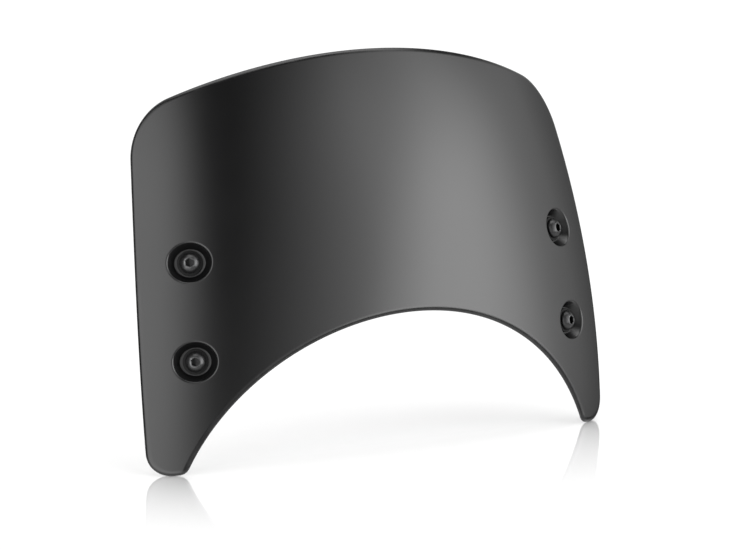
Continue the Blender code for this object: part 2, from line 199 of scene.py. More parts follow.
def seat_frame(seat):
    """Frame of one fixing: origin on the plain surface, +Z out of the front, +X round the wrap."""
    round_wrap, _ = shell_tangents(*seat)
    outward = shell_normal(*seat)
    upward = outward.cross(round_wrap)
    rotation = Matrix((round_wrap, upward, outward)).transposed().to_4x4()
    return Matrix.Translation(shell_surface(*seat)) @ rotation


def seats():
    """The four seats by name, as (across, along) places on the shell."""
    places = {}
    for level, (across, along) in (("upper", UPPER_SEAT), ("lower", LOWER_SEAT)):
        places[f"left_{level}"] = (-across, along)
        places[f"right_{level}"] = (across, along)
    return places


DISH_REACH = DISH_RIM_RADIUS + DISH_SPREAD
SEATS = seats()
SEAT_FRAMES = {name: seat_frame(seat) for name, seat in SEATS.items()}
SEAT_SPACES = [(seat.inverted(), seat) for seat in SEAT_FRAMES.values()]


def seat_place(seat, right, up):
    """The place on the shell that lies right and up of a seat, as seen along the seat's axis."""
    round_wrap, up_spine = shell_tangents(*seat)
    upward = shell_normal(*seat).cross(round_wrap)
    widen = 1.0 - FLARE * (seat[1] - FLARE_ZERO_AT)
    along = up / up_spine.dot(upward)
    across = (right - along * up_spine.dot(round_wrap)) / widen
    return Vector((seat[0] + across, seat[1] + along))


def wall_blend(rise):
    """Share of the way up a dish's wall: straight, with a bend at its foot and a longer one above."""
    slope = 1.0 / (1.0 - (FOOT_BEND + RIM_BEND) / 2.0)
    if rise < FOOT_BEND:
        return slope * rise * rise / (2.0 * FOOT_BEND)
    if rise > 1.0 - RIM_BEND:
        return 1.0 - slope * (1.0 - rise) ** 2 / (2.0 * RIM_BEND)
    return slope * (rise - FOOT_BEND / 2.0)


def shell_point(across, along, depth):
    """A point of the finished shell, depth behind its front face, with the dishes pressed in."""
    plain = shell_surface(across, along) - shell_normal(across, along) * depth
    for frame_in, frame_out in SEAT_SPACES:
        right, up, _ = frame_in @ shell_surface(across, along)
        distance = math.hypot(right, up / DISH_OVAL) - DISH_SPREAD * depth / SHEET
        if distance < DISH_RIM_RADIUS:
            rise = (distance - DISH_FLOOR_RADIUS) / (DISH_RIM_RADIUS - DISH_FLOOR_RADIUS)
            floor = frame_out @ Vector((right, up, -DISH_DEPTH - depth))
            return floor.lerp(plain, wall_blend(min(max(rise, 0.0), 1.0)))
    return plain


def dish_share(place):
    """How far a place on the shell is down in a dish: none at the rim, all from halfway down."""
    share = 0.0
    for frame_in, _ in SEAT_SPACES:
        right, up, _ = frame_in @ shell_surface(*place)
        inward = DISH_RIM_RADIUS - math.hypot(right, up / DISH_OVAL)
        share = max(share, 2.0 * inward / (DISH_RIM_RADIUS - DISH_FLOOR_RADIUS))
    return min(share, 1.0)


def shell_sample(place, depth):
    """A point of the shell with its two tangents and the normal out of the front."""
    here = shell_point(place.x, place.y, depth)
    right = (shell_point(place.x + PROBE, place.y, depth) - here) / PROBE
    up = (shell_point(place.x, place.y + PROBE, depth) - here) / PROBE
    return here, right, up, right.cross(up).normalized()


def screen_matrix():
    """The screen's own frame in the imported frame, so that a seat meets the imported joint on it."""
    lean = Euler((-LEAN, 0.0, 0.0)).to_matrix().to_4x4()
    joint = next(j for j in frame["joints"] if j["name"] == "left_upper_turn")
    seat = lean @ shell_surface(*SEATS["left_upper"])
    return Matrix.Translation(Vector(joint["pos_m"]) - seat) @ lean


# ---- Shell outline -----------------------------------------------------------
def arc(centre, radius, start, end):
    """Points on a circle from one angle to another, both ends included."""
    count = max(4, math.ceil(abs(end - start) * radius / OUTLINE_STEP) + 1)
    angles = [start + (end - start) * i / (count - 1) for i in range(count)]
    return [centre + radius * Vector((math.cos(a), math.sin(a))) for a in angles]


def bearing(centre, point):
    """Angle of a point seen from a centre."""
    return math.atan2(point.y - centre.y, point.x - centre.x)


def upper_crossing(centre_a, radius_a, centre_b, radius_b):
    """The higher of the two points where two circles cross."""
    between = centre_b - centre_a
    reach = (radius_a ** 2 - radius_b ** 2 + between.length_squared) / (2.0 * between.length)
    half_chord = math.sqrt(radius_a ** 2 - reach ** 2)
    along = between.normalized()
    sideways = Vector((-along.y, along.x)) * half_chord
    return max(centre_a + along * reach + sideways,
               centre_a + along * reach - sideways, key=lambda point: point.y)


def arch_point(angle, outside):
    """A point that stands off the elliptical arch, towards the sheet, by the given distance."""
    on_arch = Vector((ARCH_HALF_WIDTH * math.cos(angle), ARCH_HEIGHT * (math.sin(angle) - 1.0)))
    normal = Vector((math.cos(angle) / ARCH_HALF_WIDTH, math.sin(angle) / ARCH_HEIGHT))
    return on_arch + normal.normalized() * outside


def arch_foot_angle():
    """Angle on the arch where the inner fillet of a leg tip leaves it, found by halving."""
    low, high = -math.pi / 6.0, math.pi / 2.0
    for _ in range(HALVINGS):
        middle = (low + high) / 2.0
        if arch_point(middle, TIP_INNER_RADIUS).y < TIP_INNER_RADIUS - TIP_DEPTH:
            low = middle
        else:
            high = middle
    return low


def half_outline():
    """Right half of the outline, from the middle of the top edge round to the arch crown."""
    top_centre = Vector((0.0, TOP_HEIGHT - TOP_RADIUS))
    side_centre = Vector((HALF_WIDTH - SIDE_RADIUS, WIDEST_AT))
    corner = upper_crossing(top_centre, TOP_RADIUS - CORNER_RADIUS,
                            side_centre, SIDE_RADIUS - CORNER_RADIUS)
    outer_y = TIP_OUTER_RADIUS - TIP_DEPTH
    outer_reach = math.sqrt((SIDE_RADIUS - TIP_OUTER_RADIUS) ** 2 - (outer_y - WIDEST_AT) ** 2)
    outer = Vector((side_centre.x + outer_reach, outer_y))
    foot = arch_foot_angle()
    inner = arch_point(foot, TIP_INNER_RADIUS)
    inner_end = bearing(inner, arch_point(foot, 0.0))
    top_end, side_start = bearing(top_centre, corner), bearing(side_centre, corner)
    side_end = bearing(side_centre, outer)
    points = arc(top_centre, TOP_RADIUS, math.pi / 2.0, top_end)
    points += arc(corner, CORNER_RADIUS, top_end, side_start)[1:]
    points += arc(side_centre, SIDE_RADIUS, side_start, side_end)[1:]
    points += arc(outer, TIP_OUTER_RADIUS, side_end, -math.pi / 2.0)[1:]
    points += arc(inner, TIP_INNER_RADIUS, -math.pi / 2.0, inner_end % -math.tau)
    arch_count = math.ceil((math.pi / 2.0 - foot) * ARCH_HALF_WIDTH / OUTLINE_STEP)
    for i in range(1, arch_count + 1):
        points.append(arch_point(foot + (math.pi / 2.0 - foot) * i / arch_count, 0.0))
    return points


def outline():
    """The whole outline as one closed loop, clockwise from the middle of the top edge."""
    right = half_outline()
    left = [Vector((-point.x, point.y)) for point in reversed(right[1:-1])]
    return right + left


def ring(seat, radius, oval):
    """Places on an oval round a seat, counter-clockwise; its height is a share of its width."""
    angles = [math.tau * i / DISH_SIDES for i in range(DISH_SIDES)]
    return [seat_place(seat, radius * math.cos(a), radius * oval * math.sin(a)) for a in angles]


def left_normals(loop):
    """Unit normal to the left of the way round a closed loop, at each of its points."""
    normals = []
    for i, point in enumerate(loop):
        before = (point - loop[i - 1]).normalized()
        after = (loop[(i + 1) % len(loop)] - point).normalized()
        way = before + after
        normals.append(Vector((-way.y, way.x)).normalized())
    return normals


# ---- Shell mesh --------------------------------------------------------------
def shell_edges():
    """The outline and the four holes, each as (loop, normals off the sheet, reach, depth)."""
    loop = outline()
    edges = [(loop, left_normals(loop), EDGE_REACH, EDGE_DEPTH)]
    for seat in SEATS.values():
        hole = ring(seat, PANEL_HOLE_RADIUS, 1.0)
        edges.append((hole, left_normals(hole), HOLE_EDGE, HOLE_EDGE))
    return edges


def inside(point, loop):
    """True if a point lies inside a closed loop, by counting crossings to its right."""
    crossings = 0
    for first, second in zip(loop, loop[1:] + loop[:1]):
        if (first.y > point.y) != (second.y > point.y):
            share = (point.y - first.y) / (second.y - first.y)
            if point.x < first.x + share * (second.x - first.x):
                crossings += 1
    return crossings % 2 == 1


def grid_points(loop):
    """Staggered rows of points inside a loop, clear of it and of the dishes."""
    row_step = GRID_STEP * ROW_SHARE
    rows = math.ceil((TOP_HEIGHT + TIP_DEPTH) / row_step)
    columns = math.ceil(HALF_WIDTH / GRID_STEP)
    points = []
    for row in range(rows + 1):
        shift = 0.5 if row % 2 else 0.0
        for column in range(-columns, columns + 1):
            point = Vector(((column + shift) * GRID_STEP, row * row_step - TIP_DEPTH))
            from_seat = min((point - Vector(seat)).length for seat in SEATS.values())
            if from_seat < DISH_REACH + GRID_STEP or not inside(point, loop):
                continue
            if min((point - other).length for other in loop) > GRID_STEP / 2.0:
                points.append(point)
    return points


def dish_points():
    """Rings of points over the floor and the wall of each dish, and just outside its rim."""
    step = (DISH_REACH - DISH_FLOOR_RADIUS) / DISH_STEPS
    radii = [DISH_FLOOR_RADIUS - 4.0 * step]
    radii += [DISH_FLOOR_RADIUS + step * i for i in range(DISH_STEPS + 1)]
    radii += [DISH_REACH + 3.0 * step, DISH_REACH + 8.0 * step]
    points = []
    for seat in SEATS.values():
        for radius in radii:
            points += ring(seat, radius, DISH_OVAL)
    return points


def shell_layout(edges):
    """Flat triangles inside the rounded edges: the points, the triangles and each edge's loop."""
    points, constraints, spans = [], [], []
    for loop, normals, reach, _ in edges:
        first, count = len(points), len(loop)
        points += [point - normal * reach for point, normal in zip(loop, normals)]
        constraints += [(first + i, first + (i + 1) % count) for i in range(count)]
        spans.append((first, count))
    face_loop = points[:spans[0][1]]
    points += dish_points() + grid_points(face_loop)
    holes = [points[first:first + count] for first, count in spans[1:]]
    enclosed = 1
    flat, _, faces, origins, *_ = delaunay_2d_cdt(points, constraints, [], enclosed, WELD)
    place_of = {source: i for i, sources in enumerate(origins) for source in sources}
    loops = [[place_of[first + i] for i in range(count)] for first, count in spans]
    triangles = []
    for face in faces:
        a, b, c = (flat[i] for i in face)
        middle = (a + b + c) / 3.0
        if not any(inside(middle, hole) for hole in holes):
            turned = (b - a).cross(c - a) > 0.0
            triangles.append(tuple(face) if turned else tuple(reversed(face)))
    return flat, triangles, loops


def face_rows(flat, depth, side):
    """Rows for the points of the front face, whose side is 1, or of the rear face, whose side is -1.

    A row is a point, its normal, and the shares that the material reads: edge, rear and dished.
    """
    rows = []
    for place in flat:
        here, _, _, outward = shell_sample(place, depth)
        rows.append((here, outward * side, 0.0, (1.0 - side) / 2.0, dish_share(place)))
    return rows


def ring_rows(edge, turn, side):
    """Rows for one ring of an edge's rounding, turned so far away from the face on its side."""
    loop, loop_normals, reach, deep = edge
    inset, sink = reach * (1.0 - math.sin(turn)), deep * (1.0 - math.cos(turn))
    depth = sink if side > 0.0 else SHEET - sink
    rows = []
    for place, off in zip(loop, loop_normals):
        place = place - off * inset
        here, right, up, outward = shell_sample(place, depth)
        sideways = right * off.x + up * off.y
        sideways = (sideways - outward * sideways.dot(outward)).normalized()
        normal = outward * (side * reach * math.cos(turn)) + sideways * (deep * math.sin(turn))
        rows.append((here, normal, 1.0, (1.0 - side) / 2.0, dish_share(place)))
    return rows


def add_rows(skin, rows):
    """Adds rows of points to the skin and returns their numbers."""
    first = len(skin)
    skin += rows
    return list(range(first, len(skin)))


def edge_rings(skin, edge, front_ring, rear_ring):
    """Adds the rings that round an edge; returns them in order from the front face to the rear."""
    turns = [math.pi / 2.0 * i / EDGE_STEPS for i in range(1, EDGE_STEPS + 1)]
    rear_turns = list(reversed(turns))
    if 2.0 * edge[3] >= SHEET:
        rear_turns = rear_turns[1:]     # front and rear roundings meet in one ring, mid-sheet
    rings = [front_ring]
    rings += [add_rows(skin, ring_rows(edge, turn, 1.0)) for turn in turns]
    rings += [add_rows(skin, ring_rows(edge, turn, -1.0)) for turn in rear_turns]
    return rings + [rear_ring]


def shell_mesh(screen):
    """The shell at its place: front and rear faces joined by rounded edges, with its true normals."""
    edges = shell_edges()
    flat, triangles, loops = shell_layout(edges)
    skin = []
    front, rear = add_rows(skin, face_rows(flat, 0.0, 1.0)), add_rows(skin, face_rows(flat, SHEET, -1.0))
    faces = [[front[i] for i in face] for face in triangles]
    faces += [[rear[i] for i in reversed(face)] for face in triangles]
    for edge, loop in zip(edges, loops):
        rings = edge_rings(skin, edge, [front[i] for i in loop], [rear[i] for i in loop])
        for nearer, farther in zip(rings, rings[1:]):
            for i in range(len(loop)):
                j = (i + 1) % len(loop)
                faces.append([nearer[i], nearer[j], farther[j], farther[i]])
    points, normals, *shares = zip(*skin)
    mesh = bpy.data.meshes.new("shell_surface")
    mesh.from_pydata([screen @ point for point in points], [], faces)
    for name, values in zip(("edge", "rear", "dished"), shares):
        mesh.attributes.new(name, "FLOAT", "POINT").data.foreach_set("value", values)
    mesh.shade_smooth()
    turned = screen.to_3x3()
    mesh.normals_split_custom_set_from_vertices([(turned @ normal).normalized() for normal in normals])
    return mesh


# ---- Turned pieces -----------------------------------------------------------
def hex_radius(across_flats, angle):
    """Distance from the axis to the side of a hexagon, in the direction of an angle."""
    off_flat = (angle + HEX_SIDE / 2.0) % HEX_SIDE - HEX_SIDE / 2.0
    return across_flats / 2.0 / math.cos(off_flat)


def round_at(radius, height):
    """A round station of a section: (radius, height) at any angle."""
    return lambda angle: (radius, height)


def hex_at(across_flats, height, cone_radius, cone_slope):
    """A hexagonal station whose height follows a cone: scallops where a chamfer meets the flats."""
    def at(angle):
        radius = hex_radius(across_flats, angle)
        return radius, height + (radius - cone_radius) * cone_slope
    return at


def rounded(corners, closed):
    """Round stations along a section of (radius, height, rounding) corners."""
    stations = []
    for i, (radius, height, rounding) in enumerate(corners):
        here = Vector((radius, height))
        ends = not closed and i in (0, len(corners) - 1)
        if ends or rounding == 0.0:
            stations.append(round_at(radius, height))
            continue
        before = Vector(corners[i - 1][:2]) - here
        after = Vector(corners[(i + 1) % len(corners)][:2]) - here
        half = before.angle(after) / 2.0
        back = rounding / math.tan(half)
        start, end = here + before.normalized() * back, here + after.normalized() * back
        inward = (before.normalized() + after.normalized()).normalized()
        centre = here + inward * rounding / math.sin(half)
        for step in range(CORNER_STEPS + 1):
            spoke = (start - centre).slerp(end - centre, step / CORNER_STEPS)
            stations.append(round_at(*(centre + spoke * rounding)))
    return stations


def add_section(builder, stations, bored):
    """Adds a body turned from its stations, in order round its section."""
    rings = []
    for station in stations:
        angles = [math.tau * i / TURNED_SIDES for i in range(TURNED_SIDES)]
        if station(0.0)[0] == 0.0:
            angles = [0.0]
        vertices = []
        for angle in angles:
            radius, height = station(angle)
            spot = (radius * math.cos(angle), radius * math.sin(angle), height)
            vertices.append(builder.verts.new(spot))
        rings.append(vertices)
    pairs = list(zip(rings, rings[1:]))
    if bored:
        pairs.append((rings[-1], rings[0]))
    for lower, upper in pairs:
        for i in range(TURNED_SIDES):
            j = (i + 1) % TURNED_SIDES
            corners = (lower[i % len(lower)], lower[j % len(lower)],
                       upper[j % len(upper)], upper[i % len(upper)])
            builder.faces.new(dict.fromkeys(corners))


def add_thread(builder, low, high, major, end_radius):
    """Adds a shank with a right-hand V thread, chamfered to end_radius at both its ends."""
    minor = major - THREAD_DEPTH * PITCH
    crest, root = 1.0 / 16.0, 1.0 / 8.0
    rows_per_pitch = [(-crest, major), (crest, major), (0.5 - root, minor), (0.5 + root, minor)]
    first = math.floor(low / PITCH) - 2
    last = math.ceil(high / PITCH) + 1
    rows = [((turn + phase) * PITCH, radius)
            for turn in range(first, last + 1) for phase, radius in rows_per_pitch]
    columns = []
    for side in range(THREAD_SIDES):
        angle = math.tau * side / THREAD_SIDES
        column = []
        for height, radius in rows:
            height = min(max(height + PITCH * side / THREAD_SIDES, low), high)
            radius = min(radius, end_radius + height - low, end_radius + high - height)
            spot = (radius * math.cos(angle), radius * math.sin(angle), height)
            column.append(builder.verts.new(spot))
        columns.append(column)
    faces = []
    for side in range(THREAD_SIDES):
        shift = len(rows_per_pitch) if side == THREAD_SIDES - 1 else 0
        here, after = columns[side], columns[(side + 1) % THREAD_SIDES]
        for row in range(len(rows) - 1 - shift):
            faces.append(builder.faces.new((here[row], after[row + shift],
                                            after[row + 1 + shift], here[row + 1])))
    vertices = [vertex for column in columns for vertex in column]
    bmesh.ops.remove_doubles(builder, verts=vertices, dist=WELD)
    rims = [edge for edge in builder.edges if edge.is_boundary]
    bmesh.ops.holes_fill(builder, edges=rims, sides=0)


def finished_mesh(name, builder):
    """The mesh of a turned piece, faces outward, smooth except where it bends sharply."""
    bmesh.ops.recalc_face_normals(builder, faces=builder.faces)
    if builder.calc_volume(signed=True) < 0.0:
        bmesh.ops.reverse_faces(builder, faces=builder.faces)
    mesh = bpy.data.meshes.new(name)
    builder.to_mesh(mesh)
    builder.free()
    mesh.shade_smooth()
    mesh.set_sharp_from_angle(angle=SHARP_ANGLE)
    return mesh


def stack_heights():
    """Heights of the fixing's faces on its own axis; zero is the plain surface of the shell."""
    floor = -DISH_DEPTH
    heights = {"head_washer": floor + GAP}
    heights["head"] = heights["head_washer"] + HEAD_WASHER_THICKNESS + GAP
    heights["sleeve_front"] = floor
    heights["grommet_flange"] = floor - SHEET - GAP
    heights["grommet_rear"] = heights["grommet_flange"] - GROMMET_FLANGE_THICKNESS
    heights["rear_washer"] = heights["grommet_rear"] - GAP
    heights["nut"] = heights["rear_washer"] - REAR_WASHER_THICKNESS - GAP
    return heights


HEIGHTS = stack_heights()


def head_stations():
    """Button head: socket, countersunk mouth, flat, dome, rounded rim and underside."""
    seat = HEIGHTS["head"]
    top, rim = seat + HEAD_HEIGHT, seat + HEAD_RIM_HEIGHT
    floor = top - SOCKET_DEPTH
    dome_middle = HEAD_FLAT_RADIUS ** 2 - HEAD_RADIUS ** 2 + top ** 2 - rim ** 2
    dome_middle /= 2.0 * (top - rim)
    dome_radius = math.hypot(HEAD_RADIUS, rim - dome_middle)
    start = math.asin(HEAD_FLAT_RADIUS / dome_radius)
    end = math.asin(HEAD_RADIUS / dome_radius)
    stations = [round_at(0.0, floor - SOCKET_CONE), hex_at(SOCKET_ACROSS_FLATS, floor, 0.0, 0.0),
                hex_at(SOCKET_ACROSS_FLATS, top, SOCKET_MOUTH_RADIUS, SOCKET_MOUTH_SLOPE),
                round_at(SOCKET_MOUTH_RADIUS, top)]
    for i in range(DOME_STEPS + 1):
        lean = start + (end - start) * i / DOME_STEPS
        stations.append(round_at(dome_radius * math.sin(lean),
                                 dome_middle + dome_radius * math.cos(lean)))
    under = [(HEAD_RADIUS, rim, 0.0), (HEAD_RADIUS, seat, UNDER_HEAD), (0.0, seat, 0.0)]
    return stations + rounded(under, False)[1:]


def screw_mesh():
    """Button head and threaded shank."""
    builder = bmesh.new()
    seat = HEIGHTS["head"]
    add_thread(builder, seat - SCREW_LENGTH, seat + GAP, SCREW_RADIUS, SCREW_RADIUS - SHANK_CHAMFER)
    add_section(builder, head_stations(), False)
    return finished_mesh("screw", builder)


def ring_mesh(name, corners):
    """A bored piece from the rounded corners of its section."""
    builder = bmesh.new()
    add_section(builder, rounded(corners, True), True)
    return finished_mesh(name, builder)


def head_washer_mesh():
    """Moulded nylon washer with soft edges, which the head squeezes into a flat cone."""
    rear = HEIGHTS["head_washer"]
    front = rear + HEAD_WASHER_THICKNESS
    return ring_mesh("head_washer", [
        (CLEAR_HOLE_RADIUS, rear, CRISP), (HEAD_WASHER_RADIUS, rear, BROKEN),
        (HEAD_WASHER_RADIUS, front - WASHER_FALL, SOFT), (HEAD_RADIUS - CONE_INSET, front, 0.0),
        (CLEAR_HOLE_RADIUS, front, CRISP)])


def sleeve_mesh():
    """Turned spacer sleeve with broken edges."""
    rear, front = HEIGHTS["grommet_rear"], HEIGHTS["sleeve_front"]
    return ring_mesh("sleeve", [
        (CLEAR_HOLE_RADIUS, rear, BROKEN), (SLEEVE_RADIUS, rear, BROKEN),
        (SLEEVE_RADIUS, front, BROKEN), (CLEAR_HOLE_RADIUS, front, BROKEN)])


def grommet_mesh():
    """Rubber bush: a neck, and behind the shell a flange with a raised outer lip."""
    bore, neck = SLEEVE_RADIUS + GAP, PANEL_HOLE_RADIUS - GAP
    lip_inner = REAR_WASHER_RADIUS + GAP
    rear, flange = HEIGHTS["grommet_rear"], HEIGHTS["grommet_flange"]
    lip, neck_front = rear - GROMMET_LIP_HEIGHT, HEIGHTS["sleeve_front"] - GAP
    return ring_mesh("grommet", [
        (bore, rear, CRISP), (lip_inner, rear, CRISP), (lip_inner + LIP_SLOPE, lip, CRISP),
        (GROMMET_FLANGE_RADIUS, lip, LIP_ROUND), (GROMMET_FLANGE_RADIUS, flange, SOFT),
        (neck, flange, EASED), (neck, neck_front, EASED), (bore, neck_front, CRISP)])


def rear_washer_mesh():
    """Punched washer: rounded on the die side, nearly sharp on the other."""
    front = HEIGHTS["rear_washer"]
    rear = front - REAR_WASHER_THICKNESS
    return ring_mesh("rear_washer", [
        (CLEAR_HOLE_RADIUS, rear, CRISP), (REAR_WASHER_RADIUS, rear, DIE_ROLL),
        (REAR_WASHER_RADIUS, front, CRISP), (CLEAR_HOLE_RADIUS, front, SOFT)])


def nut_mesh():
    """Lock nut: chamfered hexagon, and a round collar crimped over its nylon ring."""
    front = HEIGHTS["nut"]
    rear = front - NUT_HEIGHT
    shoulder = rear + NUT_COLLAR_HEIGHT
    thread, pocket = SCREW_RADIUS + RUNNING_GAP, INSERT_RADIUS + GAP
    pocket_floor = rear + INSERT_HEIGHT + 2.0 * GAP
    land = NUT_ACROSS_FLATS / 2.0 - LAND_INSET
    builder = bmesh.new()
    collar = rounded([
        (NUT_COLLAR_RADIUS, shoulder, 0.0), (NUT_COLLAR_RADIUS, rear, COLLAR_ROUND),
        (pocket - CRISP, rear, CRISP), (pocket, rear + CRIMP_HEIGHT, 0.0),
        (pocket, pocket_floor, 0.0)], False)
    stations = [round_at(thread, pocket_floor), round_at(thread, front - THREAD_MOUTH),
                round_at(thread + THREAD_MOUTH, front), round_at(land, front),
                hex_at(NUT_ACROSS_FLATS, front, land, -HEX_CHAMFER_SLOPE),
                hex_at(NUT_ACROSS_FLATS, shoulder, land, HEX_CHAMFER_SLOPE),
                round_at(land, shoulder)]
    add_section(builder, stations + collar, True)
    return finished_mesh("lock_nut", builder)


def insert_mesh():
    """Nylon locking ring."""
    rear = HEIGHTS["nut"] - NUT_HEIGHT + GAP
    front = rear + INSERT_HEIGHT
    bore = SCREW_RADIUS + RUNNING_GAP
    return ring_mesh("nut_insert", [
        (bore, rear, SOFT), (INSERT_RADIUS, rear, CRISP),
        (INSERT_RADIUS, front, CRISP), (bore, front, CRISP)])


# ---- Materials ---------------------------------------------------------------
SHELL_BLACK = (0.0032, 0.0032, 0.0033)
WORN_BLACK = (0.0070, 0.0070, 0.0072)
SHELL_ROUGHNESS = (0.188, 0.212)    # least and most, by the flow blotches
REAR_DULLER = 0.12          # roughness added behind,
WORN_DULLER = 0.05          # on worn edges
DISH_DULLER = 0.14          # and down in the dishes
SHELL_GLOSS = 0.5           # reflection, on Blender's scale where 0.5 is a plain plastic
DISH_GLOSS = 0.85           # share of it that the dishes keep
GRAZING = (0.50, 0.82)      # angles, as a share, between which the front's reflection dies away


def add_node(tree, kind, inputs, **settings):
    """Adds a node; each input is a plain value, or a socket to link, by socket name or number."""
    node = tree.nodes.new(kind)
    for name, value in settings.items():
        setattr(node, name, value)
    for key, value in inputs.items():
        if isinstance(value, bpy.types.NodeSocket):
            tree.links.new(value, node.inputs[key])
        else:
            node.inputs[key].default_value = value
    return node


def math_of(tree, operation, first, second=0.0):
    """The result of one sum."""
    return add_node(tree, "ShaderNodeMath", {0: first, 1: second}, operation=operation).outputs[0]


def remap(tree, value, low, high, to_low, to_high, shape="LINEAR"):
    """A value from low to high, carried over to another range."""
    inputs = {"Value": value, "From Min": low, "From Max": high, "To Min": to_low, "To Max": to_high}
    node = add_node(tree, "ShaderNodeMapRange", inputs, interpolation_type=shape)
    return node.outputs["Result"]


def noise(tree, where, size, detail=2.0):
    """Noise whose blotches are about size metres across, from 0 to 1."""
    inputs = {"Vector": where, "Scale": 1.0 / size, "Detail": detail}
    return add_node(tree, "ShaderNodeTexNoise", inputs).outputs[0]


def mix_colour(tree, share, first, second):
    """A colour between two grey or coloured ones."""
    node = tree.nodes.new("ShaderNodeMix")
    node.data_type = "RGBA"
    tree.links.new(share, node.inputs[0])
    node.inputs[6].default_value = (*first, 1.0)
    node.inputs[7].default_value = (*second, 1.0)
    return node.outputs[2]


def bump(tree, height, distance):
    """A normal tilted by a height pattern of 0 to 1 that stands for distance metres."""
    inputs = {"Height": height, "Distance": distance, "Strength": 1.0}
    return add_node(tree, "ShaderNodeBump", inputs).outputs[0]


def new_material(name):
    """A material with its tree, its Principled shader and its object coordinates."""
    made = bpy.data.materials.new(name)
    made.use_nodes = True
    tree = made.node_tree
    where = add_node(tree, "ShaderNodeTexCoord", {}).outputs["Object"]
    return made, tree, tree.nodes["Principled BSDF"], where


def set_inputs(tree, shader, inputs):
    """Sets or links the inputs of a shader."""
    for key, value in inputs.items():
        if isinstance(value, bpy.types.NodeSocket):
            tree.links.new(value, shader.inputs[key])
        else:
            shader.inputs[key].default_value = value


def attribute(tree, name):
    """A value stored on the mesh's points."""
    return add_node(tree, "ShaderNodeAttribute", {}, attribute_name=name).outputs["Fac"]


def shell_material():
    """Satin black moulding: fine pores, faint flow blotches, edges polished a little by handling.

    The front face's reflection dies away at grazing angles, so that it never fades into the white
    around it. The dishes are duller, as a cloth does not reach down into them.
    """
    made, tree, shader, where = new_material("satin_black_shell")
    facing = add_node(tree, "ShaderNodeLayerWeight", {"Blend": 0.5}).outputs["Facing"]
    edge, rear, dished = (attribute(tree, name) for name in ("edge", "rear", "dished"))
    pores = noise(tree, where, size=0.0004, detail=3.0)
    flow = noise(tree, where, size=0.035, detail=4.0)
    rubs = remap(tree, noise(tree, where, size=0.006, detail=3.0), 0.45, 0.7, 0.0, 1.0)
    worn = math_of(tree, "MULTIPLY", edge, rubs)
    roughness = remap(tree, flow, 0.3, 0.7, *SHELL_ROUGHNESS)
    for share, duller in ((rear, REAR_DULLER), (worn, WORN_DULLER), (dished, DISH_DULLER)):
        roughness = math_of(tree, "ADD", roughness, remap(tree, share, 0.0, 1.0, 0.0, duller))
    elsewhere = math_of(tree, "MAXIMUM", rear, edge)
    grazing = math_of(tree, "MULTIPLY", facing, math_of(tree, "SUBTRACT", 1.0, elsewhere))
    gloss = math_of(tree, "MULTIPLY", remap(tree, grazing, *GRAZING, SHELL_GLOSS, 0.0),
                    remap(tree, dished, 0.0, 1.0, 1.0, DISH_GLOSS))
    set_inputs(tree, shader, {
        "Base Color": mix_colour(tree, worn, SHELL_BLACK, WORN_BLACK),
        "Specular IOR Level": gloss,
        "Roughness": roughness,
        "Normal": bump(tree, pores, 0.0000012),
    })
    return made


def screw_material():
    """Black zinc on steel: blotches of the bath, turning marks round the axis, brighter edges, and
    painted shade down in the hex socket.
    """
    made, tree, shader, where = new_material("black_zinc_screw")
    blotch = noise(tree, where, size=0.0009, detail=4.0)
    turning = {"Vector": where, "Scale": 900.0, "Distortion": 3.0, "Detail": 2.0, "Detail Scale": 2.0}
    marks = add_node(tree, "ShaderNodeTexWave", turning, wave_type="RINGS",
                     rings_direction="Z").outputs[0]
    pointed = add_node(tree, "ShaderNodeNewGeometry", {}).outputs["Pointiness"]
    rubbed = remap(tree, pointed, 0.52, 0.60, 0.0, 1.0)
    parts = add_node(tree, "ShaderNodeSeparateXYZ", {0: where})
    from_axis = math_of(tree, "SQRT", math_of(tree, "ADD",
                        math_of(tree, "MULTIPLY", parts.outputs["X"], parts.outputs["X"]),
                        math_of(tree, "MULTIPLY", parts.outputs["Y"], parts.outputs["Y"])))
    # Painted shade: the colour fades to near black down inside the hex socket, below its mouth.
    lit_from = HEIGHTS["head"] + HEAD_HEIGHT - SOCKET_SHADE / 2.0
    socket_shade_by_height = remap(tree, parts.outputs["Z"], lit_from - SOCKET_SHADE, lit_from, 1.0, 0.0)
    bore = remap(tree, from_axis, SOCKET_MOUTH_RADIUS - CRISP, SOCKET_MOUTH_RADIUS, 1.0, 0.0)
    outside = math_of(tree, "SUBTRACT", 1.0, math_of(tree, "MULTIPLY", socket_shade_by_height, bore))
    # Edge wear brightens the colour, and the painted shade of the socket darkens it.
    edge_wear_and_socket_shade = math_of(tree, "MULTIPLY", remap(tree, rubbed, 0.0, 1.0, 0.4, 1.0),
                         remap(tree, outside, 0.0, 1.0, 0.2, 1.0))
    set_inputs(tree, shader, {
        "Base Color": mix_colour(tree, edge_wear_and_socket_shade, (0.002, 0.002, 0.002), (0.13, 0.13, 0.132)),
        "Metallic": 0.9,
        "Roughness": remap(tree, blotch, 0.3, 0.7, 0.26, 0.40),
        "Normal": bump(tree, marks, 0.0000025),
    })
    return made


def nylon_washer_material():
    """Dull black nylon with a fine moulded grain."""
    made, tree, shader, where = new_material("black_nylon_washer")
    set_inputs(tree, shader, {
        "Specular IOR Level": 0.15,
        "Base Color": mix_colour(tree, noise(tree, where, size=0.0012),
                                 (0.002, 0.002, 0.002), (0.005, 0.005, 0.005)),
        "Roughness": remap(tree, noise(tree, where, size=0.0008), 0.3, 0.7, 0.50, 0.64),
        "Normal": bump(tree, noise(tree, where, size=0.0003), 0.000006),
    })
    return made


